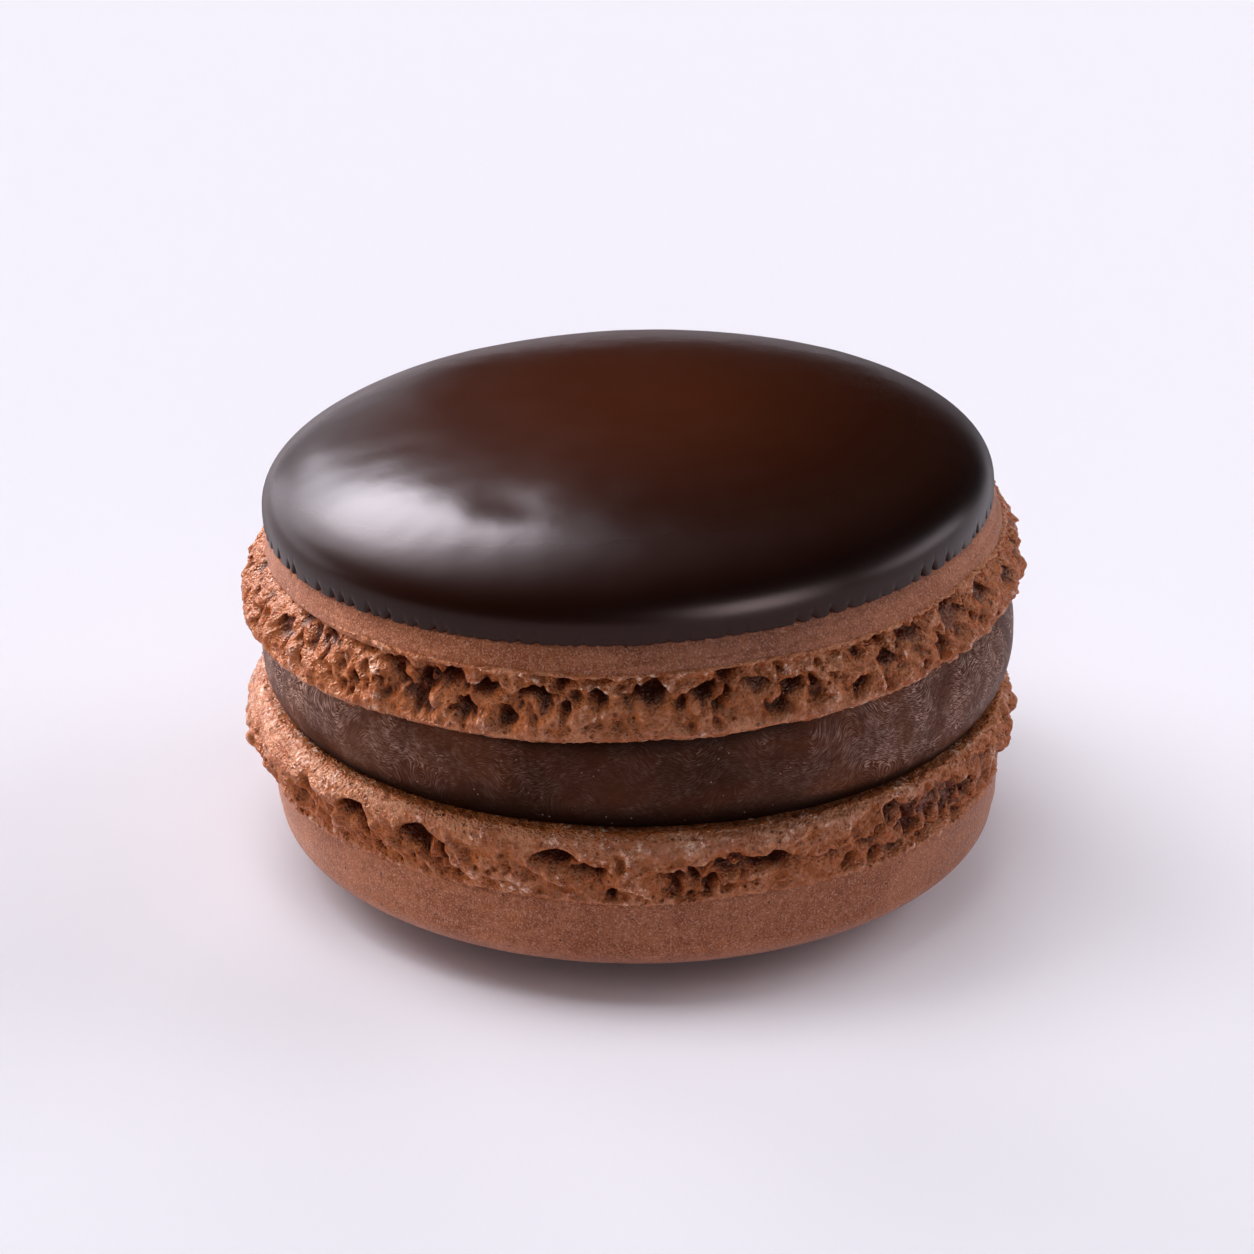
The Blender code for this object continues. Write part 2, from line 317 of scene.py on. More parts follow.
# Caves in the feet: angle from the front, height as a share of the foot, then half width, half
# height and depth.
upperCaves = [
    (-58, 0.75, 0.6, 0.5, 0.7),
    (-50, 0.75, 0.8, 0.6, 0.9),
    (-36, 0.74, 0.9, 0.5, 0.8),
    (-32, 0.40, 0.7, 0.5, 0.7),
    (-26, 0.70, 0.9, 0.5, 1.1),
    (-21, 0.64, 1.0, 0.45, 1.2),
    (-13, 0.62, 1.1, 0.4, 0.9),
    (3, 0.62, 0.9, 0.7, 1.5),
    (10, 0.62, 0.8, 0.6, 1.1),
    (18, 0.60, 1.0, 0.5, 0.7),
    (34, 0.30, 0.6, 0.5, 0.7),
    (39, 0.50, 0.8, 0.5, 0.9),
    (45, 0.66, 0.9, 0.5, 0.9),
]
lowerCaves = [
    (-57, 0.50, 0.8, 0.5, 0.6),
    (-45, 0.36, 1.1, 0.7, 1.0),
    (-33, 0.42, 1.2, 0.9, 1.3),
    (-11, 0.38, 1.3, 0.6, 1.2),
    (-6, 0.54, 1.1, 0.5, 1.0),
    (6, 0.62, 1.0, 0.5, 0.9),
    (14, 0.58, 1.2, 0.4, 0.8),
    (20, 0.52, 1.6, 0.6, 1.3),
    (30, 0.60, 1.3, 0.4, 0.8),
    (36, 0.60, 1.2, 0.4, 0.7),
    (43, 0.52, 0.9, 0.6, 0.9),
]


caveForm = {
    # the caves that are scattered round the rest of a foot
    "start": 54,
    "end": 300,
    "spacing": 8,
    "heightSpread": 0.14,
    "halfWidths": (0.7, 1.5),
    "halfHeights": (0.5, 0.8),
    "depths": (0.4, 0.9),
    "gaps": (0.6, 1.5),
    # the caves' form: where their upper and lower edges begin and end, in half sizes
    "upperEdge": (0.86, 1.12),
    "lowerEdge": (0.35, 1.25),
    "ledge": (0.14, 1.1, 0.28),     # the ledge over a cave: height, middle, width, in half sizes
    "reach": 1.9,
    "wander": 0.28,
    "deeper": 1.2,
}


def seededCaves(seed, heightShare):
    form = caveForm
    draw = random.Random(seed)
    caves = []
    angle = form["start"]
    while angle < form["end"]:
        height = heightShare + draw.uniform(-form["heightSpread"], form["heightSpread"])
        halfWidth, halfHeight = draw.uniform(*form["halfWidths"]), draw.uniform(*form["halfHeights"])
        caves.append((angle, height, halfWidth, halfHeight, draw.uniform(*form["depths"])))
        angle += form["spacing"] * draw.uniform(*form["gaps"])
    return caves


lowerShell = {
    "lipRadius": 21.2,
    "footHeight": 4.4,
    # outline of the foot: share of its height from the lip, then radius
    "footOutline": (
        (0.0, 21.25), (0.1, 21.65), (0.25, 21.95), (0.45, 22.0), (0.65, 21.8), (0.85, 21.35), (1.0, 20.9)),
    "creaseRadius": 20.75,
    "domeRadius": 20.55,
    "domeStart": 6.95,
    "domeRise": 4.4,
    "squareness": 2.3,
    "restSpot": 6.0,
    "domeSteps": 22,
    "seed": 2,
    "up": -1.0,             # the lip is above the foot
    "foamZone": (0.10, 0.50),
    "filmed": 0.42,         # how much of the foam a smooth film covers
    "leftTuck": 0.0,
    "creaseLift": 0.0,
    "full": (0.38, 0.13),   # how much fuller the foot is at its left and right
    # painted shade on the lip's flat face, where the ganache shades it
    "lipFaceShade": 0.50,
    # folds: middle turn, half span, spacing, depth, lowest and highest share of the foot
    "folds": (
        (66, 38, 1.05, 0.50, 0.12, 0.95),
        (-62, 40, 0.75, 0.22, 0.30, 1.0),
        (150, 60, 1.3, 0.3, 0.2, 0.9),
    ),
    "caves": lowerCaves + seededCaves(12, 0.56),
}
upperShell = {
    "lipRadius": 21.85,
    "footHeight": 3.6,
    "footOutline": (
        (0.0, 21.9), (0.12, 22.2), (0.25, 22.3), (0.45, 22.15), (0.65, 21.8), (0.85, 21.35), (1.0, 21.1)),
    "creaseRadius": 20.95,
    "bandTopRadius": 20.22,
    "bandTop": 4.95,
    "bandSteps": 16,
    "bandTuck": 0.45,       # the band's foot draws in by this much at its far left
    "domeSteps": 22,
    "seed": 5,
    "up": 1.0,
    "foamZone": (0.10, 0.34),
    "filmed": 0.0,
    "leftTuck": 0.80,       # the left side draws in below the crease
    "creaseLift": 0.32,     # and its crease lies higher
    "full": (0.0, 0.34),
    # painted shade on the lip's flat face, where the ganache shades it
    "lipFaceShade": 0.3,
    "folds": (
        (-58, 44, 0.34, 0.15, -0.2, 0.42),
        (70, 36, 0.95, 0.22, 0.1, 0.6),
        (-150, 50, 0.8, 0.2, 0.0, 0.6),
    ),
    "caves": upperCaves + seededCaves(11, 0.62),
}
foam = {
    "rings": 50,
    "sectorSteps": 43,
    "turnRadius": 22.0,     # where a turn is measured as a length round the foot
    "lipFace": 1.4,         # width of the lip's flat face that the relief reaches
    "lipRings": (10, 0.13),     # rings on that face, and their spacing
    "caveSpans": (5, 11.0),     # degrees of a span, and from its middle to the farthest cave's
    # at this depth the painted shade in the foam is darkest
    "darkDepth": 1.25,      # this deep the foam is at its darkest
    "ridgeDepth": 0.5,      # this deep no ridge stands
    "backRadius": 18.9,     # hidden inner wall of the foot's ring
    "lipRounding": 0.18,
    # foam cells: size, depth, width of the walls between them
    "cells": ((0.74, 0.55, 0.06), (0.36, 0.20, 0.06)),
    "hollows": (0.80, 1.15),        # size and depth
    "lumps": ((1.15, 0.40), (0.46, 0.20)),      # size, depth of the creases between them
    "swell": (1.5, 0.22),
    "froth": (0.30, 0.045),         # tiny round bubbles: size and height
    "overhang": 0.45,       # hollows reach up behind their upper edges by this share of their depth
    "slant": 0.8,           # lean of the foam at the sides, as a share of its height
    "stretch": 0.75,        # its height in its own flow
    "grain": (5.2, 0.02),       # repeats and depth
    "creaseWander": 0.25,
    "creaseLip": 0.22,
    "soften": (0.5, 3),     # strength and rounds
    # burst bubbles: count, smallest and largest radius, lowest and highest share of the foot
    "bubbles": (
        (110, 0.34, 0.55, 0.25, 0.90),
        (1200, 0.18, 0.33, 0.12, 0.97),
        (3200, 0.08, 0.18, 0.0, 1.0),
    ),
}


def outlineRadius(share, outline):
    # smooth curve through the outline's points
    for (lowShare, lowRadius), (highShare, highRadius) in zip(outline, outline[1:]):
        if share <= highShare:
            part = (share - lowShare) / (highShare - lowShare)
            eased = 0.35 * part + 0.65 * smoothStep(0.0, 1.0, part)
            return lowRadius + (highRadius - lowRadius) * eased
    return outline[-1][1]


def footProfile(shell):
    # a closed ring: hidden wall, flat lip, rounded edge, the craggy face, then the crease
    lip, edge, rings = shell["lipRadius"], foam["lipRounding"], foam["rings"]
    points = [(foam["backRadius"], 0.3), (foam["backRadius"] + 0.3, 0.0)]
    lipRings, spacing = foam["lipRings"]
    points += [(lip - edge - spacing * step, 0.0) for step in range(lipRings - 1, -1, -1)]
    points += [(lip - edge + edge * math.sin(turn), edge - edge * math.cos(turn))
               for turn in (math.radians(22.5 * step) for step in range(1, 4))]
    for step in range(1, rings + 1):
        depth = edge + (shell["footHeight"] - edge) * step / rings
        points.append((outlineRadius(depth / shell["footHeight"], shell["footOutline"]), depth))
    crease, creaseDepth = shell["creaseRadius"], shell["footHeight"]
    points += [(crease - 0.25, creaseDepth + 0.12), (crease - 1.0, creaseDepth - 0.05)]
    points += [(foam["backRadius"], creaseDepth - 0.6)]
    return points


def scatterBubbles(shell):
    # bubble centres on the foot's outline, as one tree for each sort
    draw = random.Random(shell["seed"] * 101)
    sorts = []
    for count, smallest, largest, lowest, highest in foam["bubbles"]:
        tree = kdtree.KDTree(count)
        sizes = []
        for index in range(count):
            share = draw.uniform(lowest, highest)
            angle = draw.uniform(-math.pi, math.pi)
            radius = outlineRadius(share, shell["footOutline"])
            size = smallest + (largest - smallest) * draw.random() ** 2
            depth = share * shell["footHeight"]
            tree.insert((radius * math.sin(angle), -radius * math.cos(angle), depth), index)
            sizes.append((size, size * draw.uniform(-0.1, 0.55)))
        tree.balance()
        sorts.append((tree, sizes, largest))
    return sorts


def bubbleDepth(point, sorts):
    # how deep the deepest burst bubble is here
    depth = 0.0
    for tree, sizes, largest in sorts:
        for centre, index, distance in tree.find_range(point, largest):
            size, sink = sizes[index]
            if distance < size:
                depth = max(depth, math.sqrt(size * size - distance * distance) - sink)
    return depth


def cellHollow(point, size, wall):
    # 1 in a foam cell, 0 on the wall beside it, then how deep this cell has burst
    near, spots = noise.voronoi(point / size)
    inside = smoothStep(wall - 0.06, wall + 0.50, near[1] - near[0])
    burst = 0.5 + 0.5 * noise.cell(spots[0] * 23.0)     # a number of its own for each cell
    return inside, max(0.0, min(1.0, 1.5 * burst - 0.2))


def frothHeight(point, size):
    # tiny domes, side by side
    near, spots = noise.voronoi(point / size)
    return math.sqrt(max(0.0, 1.0 - (near[0] / 0.8) ** 2))


def turnBetween(angle, middle):
    # degrees from one turn to the other, the short way round
    return (angle - middle + 180.0) % 360.0 - 180.0


def foldDepth(point, angle, share, shell):
    # slanted folds in the film, as creases between rounded fingers
    depth = 0.0
    for middle, halfSpan, spacing, deepest, low, high in shell["folds"]:
        away = abs(turnBetween(angle, middle)) / halfSpan
        if away < 1.0:
            zone = smoothStep(low, low + 0.15, share) * (1.0 - smoothStep(high - 0.2, high, share))
            crease = abs(noise.noise(Vector((point.x, point.y, point.z * 0.22)) / spacing))
            depth += deepest * (1.0 - smoothStep(0.0, 0.42, crease)) * zone * smoothStep(1.0, 0.55, away)
    return depth


def cavesBySpan(shell):
    # for each small span of the turn, the caves that can reach it
    width, reach = foam["caveSpans"]
    spans = []
    for span in range(360 // width):
        middle = width * (span + 0.5)
        spans.append([cave for cave in shell["caves"] if abs(turnBetween(cave[0], middle)) < reach])
    return spans


def caveShape(angle, depth, shell, cavesNear, warp):
    # how deep the caves cut, and how far their ledges hang over them
    form = caveForm
    ledgeHeight, ledgeMiddle, ledgeWidth = form["ledge"]
    cut, hang = 0.0, 0.0
    span = int(angle) // foam["caveSpans"][0] % len(cavesNear)
    for turn, height, halfWidth, halfHeight, cave in cavesNear[span]:
        across = math.radians(turnBetween(angle, turn)) * foam["turnRadius"]
        across = (across + warp.x * form["wander"]) / halfWidth
        above = depth - height * shell["footHeight"] + warp.z * form["wander"]
        above = shell["up"] * above / halfHeight
        away = math.hypot(across, above)
        if away < form["reach"] and above > 0.0:
            cut = max(cut, cave * (1.0 - smoothStep(*form["upperEdge"], away)))
            ledge = math.exp(-((away - ledgeMiddle) / ledgeWidth) ** 2)
            hang = max(hang, halfHeight * ledgeHeight * ledge)
        elif away < form["reach"]:
            cut = max(cut, cave * (1.0 - smoothStep(*form["lowerEdge"], away)))
    return cut * form["deeper"], hang


def foamHollows(flow, warp, share, zone, opened, skin, right):
    # how deep the torn foam is here, and how much of a wall stands between its hollows
    ripple = noise.noise_vector(flow * 2.6) * 0.10
    size, deepest = foam["hollows"]
    blob = noise.noise((flow + warp * 0.5) / size) + 0.4 * noise.noise((flow + ripple) / (0.42 * size))
    blob = smoothStep(0.02, 0.46, blob) * zone * (0.25 + 0.75 * opened) * (1.0 - 0.45 * right)
    hollow = deepest * blob
    walls = 1.0 - 0.8 * blob
    lumpWeights = (zone * (0.3 + 0.7 * opened), skin * (0.3 + 0.7 * zone))
    for (size, deepest), weight in zip(foam["lumps"], lumpWeights):
        near = abs(noise.noise((flow + warp * 0.35 + ripple) / size))
        crease = 1.0 - smoothStep(0.0, 0.34, near)
        hollow += deepest * crease * weight
        walls *= 1.0 - 0.7 * crease
    fineWeight = skin * max(0.1 + 0.6 * zone, 0.8 * smoothStep(0.10, 0.02, share))
    cellWeights = (zone * max(right, 0.45 * opened), fineWeight)
    for (size, deepest, wall), weight in zip(foam["cells"], cellWeights):
        inside, burst = cellHollow(flow + warp * 0.30 * size + ripple, size, wall)
        hollow += deepest * inside * burst * weight
        walls *= 1.0 - 0.7 * inside * burst
    return hollow, walls


def sideForm(turn, share, shell):
    # how much fuller or more tucked in the foot is at its left and right
    side = math.sin(turn)
    full = shell["full"][0 if turn < 0.0 else 1] * smoothStep(0.55, 0.95, abs(side))
    full *= math.sin(math.pi * min(1.0, share)) ** 2
    tuck = shell["leftTuck"] * smoothStep(0.55, 0.95, share) * smoothStep(-0.55, -0.95, side)
    return full - tuck


def foamZones(turn, share, flow, shell):
    # where the foam is torn between lip and crease, how far it has opened, 1 on the foot's face
    # and 0 past its crease, and 1 on the right side
    zoneStart, zoneEnd = shell["foamZone"]
    right = smoothStep(0.35, 0.80, math.sin(turn))
    zone = smoothStep(zoneStart - 0.16 * right, zoneEnd - 0.28 * right, share)
    zone *= 1.0 - smoothStep(0.88, 0.985, share)
    opened = noise.noise(flow * 0.33) - shell["filmed"] * (1.0 - right)
    opened = smoothStep(-0.38, 0.12, opened)
    skin = 1.0 - smoothStep(0.97, 1.02, share)
    return zone, opened, skin, right


def foamBumps(point, flow, warp, share, zone, skin, offset):
    # what stands up from the foam: slow swell, froth, fine grain and a wavy lip at the crease
    size, depth = foam["swell"]
    swell = noise.noise((flow + warp * 0.4) / size)
    swell = depth * (0.3 + 0.7 * zone) * swell + 0.12 * noise.noise(flow * 0.22)
    size, height = foam["froth"]
    frothy = smoothStep(-0.15, 0.35, noise.noise(flow * 0.55 - offset)) * skin
    froth = height * frothy * frothHeight(point + offset, size)
    scale, height = foam["grain"]
    grain = height * noise.noise(point * scale) * skin
    lipLine = foam["creaseLip"] * smoothStep(0.86, 0.94, share) * (1.0 - smoothStep(0.985, 1.0, share))
    lipLine *= 0.6 + 1.2 * noise.noise(flow * 3.4)
    return swell * skin + froth + grain + lipLine, frothy


def faceDirection(point, radius, outward, shell):
    # outward on the side, and turning with the lip's rounded edge
    edge = foam["lipRounding"]
    edgeOut = max(0.0, radius - shell["lipRadius"] + edge)
    facing = Vector((edgeOut * outward.x, edgeOut * outward.y, point.z - edge))
    if point.z > edge or facing.length < 1e-6:
        facing = outward.copy()
    facing.normalize()
    return facing


def roughenFoot(body, shell):
    # pushes the face of the foot in and out, and notes hollows and ridges for the material
    cavityLayer = body.verts.layers.float.new("cavity")
    ridgeLayer = body.verts.layers.float.new("ridge")
    offset = Vector((shell["seed"] * 7.3, shell["seed"] * 3.1, shell["seed"] * 5.7))
    bubbles = scatterBubbles(shell)
    cavesNear = cavesBySpan(shell)
    lip, up = shell["lipRadius"], shell["up"]
    for vert in body.verts:
        point = vert.co.copy()
        radius = math.hypot(point.x, point.y)
        if radius < lip - foam["lipFace"]:
            # the lip's inner face gets the painted lip shade
            vert[cavityLayer] = shell["lipFaceShade"]
            continue
        depth = point.z
        share = depth / shell["footHeight"]
        outward = Vector((point.x / radius, point.y / radius, 0.0))
        turn = math.atan2(point.x, -point.y)
        angle = math.degrees(turn) % 360.0
        # the foam leans the way the batter ran: one way on the left, the other on the right
        slanted = turn - foam["slant"] * math.sin(turn) * up * depth / foam["turnRadius"]
        across = (radius * math.sin(slanted), -radius * math.cos(slanted))
        flow = Vector((*across, depth * foam["stretch"])) + offset
        warp = noise.turbulence_vector(flow * 0.8, 2, False)
        zone, opened, skin, right = foamZones(turn, share, flow, shell)
        hollow, walls = foamHollows(flow, warp, share, zone, opened, skin, right)
        cut, hang = caveShape(angle, depth, shell, cavesNear, warp)
        cut *= smoothStep(0.08, 0.22, share)
        folds = foldDepth(flow + warp * 0.15, angle, share, shell)
        bubble = bubbleDepth(point, bubbles) * skin * (0.4 + 0.6 * zone)
        total = max(cut + 0.4 * hollow, hollow) + folds + 0.85 * bubble
        bumps, frothy = foamBumps(point, flow, warp, share, zone, skin, offset)
        push = bumps + sideForm(turn, share, shell) - total
        vert.co = point + faceDirection(point, radius, outward, shell) * push
        vert.co.z += up * foam["overhang"] * min(1.0, cut + 0.6 * hollow) * zone - up * hang * zone
        wander = noise.noise(outward * 3.0 + offset) * smoothStep(0.3, 1.0, share)
        lifted = smoothStep(0.0, -0.8, math.sin(turn)) * smoothStep(0.4, 1.0, share)
        vert.co.z += foam["creaseWander"] * wander + shell["creaseLift"] * lifted
        # painted shade on the lip's face beside the ganache, and in the foam's hollows
        onFace = smoothStep(0.10, 0.02, share) * smoothStep(lip + 0.1, lip - 0.3, radius)
        vert[cavityLayer] = max(shell["lipFaceShade"] * onFace, min(1.0, total / foam["darkDepth"]))
        standing = 1.0 - min(1.0, total / foam["ridgeDepth"])
        vert[ridgeLayer] = skin * walls * (0.25 + 0.75 * frothy) * standing


def softenFoot(body, shell):
    # takes the points off the sharpest ridges
    inside = shell["lipRadius"] - foam["lipFace"] - 0.2
    face = [vert for vert in body.verts if math.hypot(vert.co.x, vert.co.y) > inside]
    strength, rounds = foam["soften"]
    for step in range(rounds):
        bmesh.ops.smooth_vert(body, verts=face, factor=strength, use_axis_x=True, use_axis_y=True,
                              use_axis_z=True)


def makeFoot(shell, name, place, lipHeight, node, material):
    foot = turnProfile(footProfile(shell), foam["sectorSteps"], isRing=True)
    roughenFoot(foot, shell)
    softenFoot(foot, shell)
    flipped = Matrix.Scale(shell["up"], 4, (0, 0, 1))
    bmesh.ops.transform(foot, matrix=Matrix.Translation((0.0, 0.0, lipHeight)) @ flipped, verts=foot.verts)
    bmesh.ops.recalc_face_normals(foot, faces=foot.faces)
    return finishPiece(foot, name, place, node, material)


def makeLowerShell(footLook, skinLook):
    shell = lowerShell
    footPiece = makeFoot(shell, "lowerFoot", lowerFootPlace, stack["lowerLip"], "lower_shell", footLook)
    crease, creaseDepth = shell["creaseRadius"], shell["footHeight"]
    points = [(0.0, 0.03), (foam["backRadius"] + 0.2, 0.03), (crease - 1.2, creaseDepth - 0.4)]
    points += [(crease - 0.15, creaseDepth - 0.2)]
    # the upright part below the crease
    points += [(crease + 0.02 - 0.01 * step, creaseDepth + 0.2875 * step) for step in range(8)]
    edge = shell["domeRadius"]
    for radius in domeRadii(edge, shell["restSpot"], 40):
        depth = domeHeight(radius, edge, shell["domeStart"], shell["domeRise"], shell["squareness"])
        points.append((radius, depth))
    points[-1] = (shell["restSpot"], stack["lowerLip"])
    points.append((0.0, stack["lowerLip"]))
    profile = [(radius, stack["lowerLip"] - depth) for radius, depth in points]
    body = turnProfile(profile, shell["domeSteps"])
    return footPiece, finishPiece(body, "lowerDome", lowerPlace, "lower_shell", skinLook)


def makeUpperShell(footLook, skinLook):
    shell = upperShell
    footPiece = makeFoot(shell, "upperFoot", leanPlace, 0.0, "upper_shell", footLook)
    under = coating["thickness"] + coating["gap"]
    inner = coating["radius"] - under
    crease, creaseDepth, bandTop = shell["creaseRadius"], shell["footHeight"], shell["bandTop"]
    points = [(0.0, 0.03), (foam["backRadius"] + 0.2, 0.03), (crease - 1.2, creaseDepth - 0.4)]
    points += [(crease - 0.15, creaseDepth - 0.2)]
    for step in range(shell["bandSteps"] + 1):
        share = step / shell["bandSteps"]
        crown = 0.10 * math.sin(math.pi * share) + 0.09 * smoothStep(0.42, 0.34, share)
        radius = crease - 0.04 + (shell["bandTopRadius"] - crease) * share + crown
        points.append((radius, creaseDepth - 0.1 + (bandTop + 0.2 - creaseDepth) * share))
    points += [(inner, bandTop + 0.25), (inner, coating["start"])]
    for radius in domeRadii(inner - 0.05, 4.0, 8)[1:]:
        points.append((radius, coatingHeight(radius, under)))
    points.append((0.0, coatingHeight(0.0, under)))
    body = turnProfile(points, shell["domeSteps"])
    for vert in body.verts:
        radius = math.hypot(vert.co.x, vert.co.y)
        if radius > inner + 0.1:
            outward = Vector((vert.co.x / radius, vert.co.y / radius, 0.0))
            wave = 0.05 * noise.noise(vert.co * 0.5) + 0.02 * noise.noise(vert.co * 2.2)
            low = smoothStep(bandTop, creaseDepth, vert.co.z)
            vert.co += outward * (wave - shell["bandTuck"] * low * smoothStep(-0.6, -0.95, outward.x))
    return footPiece, finishPiece(body, "upperBand", leanPlace, "upper_shell", skinLook)


coating = {
    "radius": 20.55,
    "thickness": 0.75,
    "gap": 0.1,             # between the coating and the shell under it
    "edge": 5.08,
    "start": 5.8,           # the rim is upright below this, the dome begins above it
    "rise": 4.55,
    "squareness": 2.34,
    "tuck": 0.06,           # the edge draws in by this much
    "rimSteps": 14,
    "sectorSteps": 44,
    # notches pinched into the edge: smallest and largest gap, half width, depth, reach up the rim
    "notches": (0.62, 1.70, 0.14, 0.22, 0.75),
    "kink": (-6.0, -11.3, 1.9, 0.11),       # a shallow dimple: place, radius, depth
    "seed": 4,
}


def coatingHeight(radius, inset=0.0):
    edge, rise = coating["radius"] - inset, coating["rise"] - inset
    return domeHeight(radius, edge, coating["start"], rise, coating["squareness"])


def coatingRelief(point):
    # slow waves and a kink
    wave = 0.05 * noise.noise(point * 0.14) + 0.012 * noise.noise(point * 0.6)
    x, y, radius, depth = coating["kink"]
    away = (Vector((point.x, point.y)) - Vector((x, y))).length / radius
    return wave - depth * math.exp(-away ** 2)


def notchTurns():
    # gaps are narrow at the front and uneven at the sides
    draw = random.Random(coating["seed"])
    narrow, wide = coating["notches"][:2]
    turns = [-math.pi]
    while turns[-1] < math.pi:
        side = abs(math.sin(turns[-1]))
        widening = 0.35 * draw.random() + 0.65 * side * draw.random()
        turns.append(turns[-1] + (narrow + (wide - narrow) * widening) / coating["radius"])
    return turns, [draw.uniform(0.15, 1.2) for turn in turns]


def notchAt(turn, ring, turns, weights, halfWidth):
    # how strongly the edge is pinched here, from the notches on either side
    index = bisect.bisect(turns, turn)
    notch = 0.0
    for near in (index - 1, index):
        if 0 <= near < len(turns):
            away = (turn - turns[near]) * ring / (halfWidth * (0.8 + 0.4 * weights[near]))
            notch = max(notch, weights[near] * math.exp(-away * away))
    return notch


def makeCoating(material):
    look = coating
    radius, edge, start = look["radius"], look["edge"], look["start"]
    points = [(0.0, coatingHeight(0.0))]
    points += [(ring, coatingHeight(ring)) for ring in domeRadii(radius, 0.6, 40)[:0:-1]]
    for step in range(look["rimSteps"] + 1):
        share = step / look["rimSteps"]
        points.append((radius - look["tuck"] * share ** 2.2, start + (edge - start) * share))
    lowest = radius - look["tuck"]
    inner = radius - look["thickness"]
    points += [(lowest - 0.04, edge - 0.05), (lowest - 0.14, edge - 0.08), (lowest - 0.32, edge - 0.03)]
    points += [(inner, edge + 0.2), (inner, start - 0.1)]
    for ring in domeRadii(inner - 0.05, 4.0, 6)[1:]:
        points.append((ring, coatingHeight(ring, look["thickness"])))
    points.append((0.0, coatingHeight(0.0, look["thickness"])))
    body = turnProfile(points, look["sectorSteps"])
    turns, weights = notchTurns()
    halfWidth, depth, reach = look["notches"][2:]
    for vert in body.verts:
        point = vert.co.copy()
        ring = math.hypot(point.x, point.y)
        if ring < 0.001:
            continue
        outward = Vector((point.x / ring, point.y / ring, 0.0))
        if point.z > coatingHeight(ring, 0.3):
            vert.co.z += coatingRelief(point) * smoothStep(radius, radius - 2.5, ring)
        if ring > inner + 0.15 and point.z < edge + reach * 1.3:
            turn = math.atan2(point.x, -point.y)
            notch = notchAt(turn, ring, turns, weights, halfWidth)
            strength = 0.30 + 0.70 * smoothStep(0.25, 0.85, abs(math.sin(turn)))
            low = max(0.0, 1.0 - (point.z - edge) / (reach * (0.7 + 0.5 * notch))) ** 1.6
            low = min(1.0, low)
            vert.co += outward * (0.04 * (1.0 - notch) - depth * notch * strength) * low
            vert.co.z += (1.1 * depth * notch * strength + 0.05 * noise.noise(outward * 14.0)) * low
    return finishPiece(body, "coatingCap", leanPlace, "chocolate_coating", material)


coatingLooks = {
    # painted shade: the coating is coloured darker from its middle towards its rim
    "middle": (0.052, 0.0100, 0.0020),
    "rim": (0.020, 0.0044, 0.0016),
    "fadeMiddle": (-2.5, 2.5, 0.0),
    "fade": (4.0, 22.5),            # darker from the one distance to the other
    "roughness": (0.20, 0.225),
    "edgeRoughness": (0.72, 0.98, 0.22),    # added where the surface turns away
    "rimRoughness": (15.5, 21.5, 0.12),     # added from the one distance to the other
    "bump": (0.16, 0.03),
    "plain": {"Specular IOR Level": 0.25, "Specular Tint": (1.0, 0.75, 0.70, 1.0)},
}


def coatingMaterial():
    look = coatingLooks
    material, tree, shader, place = newMaterial("darkCoating")
    flat = tree.nodes.new("ShaderNodeVectorMath")
    flat.operation = "MULTIPLY_ADD"
    tree.links.new(place, flat.inputs[0])
    flat.inputs[1].default_value = (1.0, 1.0, 0.0)
    flat.inputs[2].default_value = tuple(-value for value in look["fadeMiddle"])
    length = tree.nodes.new("ShaderNodeVectorMath")
    length.operation = "LENGTH"
    tree.links.new(flat.outputs["Vector"], length.inputs[0])
    distance = length.outputs["Value"]
    away = plus(tree, distance, times(tree, noiseAt(tree, place, 0.16, 2.0, 0.4), 3.0))
    # painted shade towards the rim, with an uneven boundary
    colour = mixColours(tree, remap(tree, away, *look["fade"]), look["middle"], look["rim"])
    tree.links.new(colour, shader.inputs["Base Color"])
    roughness = remap(tree, noiseAt(tree, place, 0.35, 2.0, 0.4), 0.2, 0.8, *look["roughness"])
    facing = tree.nodes.new("ShaderNodeLayerWeight")
    facing.inputs["Blend"].default_value = 0.5
    for value, name in ((facing.outputs["Facing"], "edgeRoughness"), (distance, "rimRoughness")):
        low, high, added = look[name]
        roughness = plus(tree, roughness, remap(tree, value, low, high, 0.0, added))
    tree.links.new(roughness, shader.inputs["Roughness"])
    grain = noiseAt(tree, place, 1.6, 5.0, 0.62)
    tree.links.new(bumpFrom(tree, grain, *look["bump"]), shader.inputs["Normal"])
    setPlain(shader, look["plain"])
    return material


ganache = {
    "radius": 21.15,
    "endRadius": 20.2,      # at the shells
    "bulge": 0.62,          # the smaller, the squarer the side
    "overlap": 0.02,        # into either shell
    "uneven": ((5.0, 0.14), (1.4, 0.03)),       # size and depth of the waves in the side
    "rightBulge": 0.48,
    "sectorSteps": 15,
    "rings": 44,
}


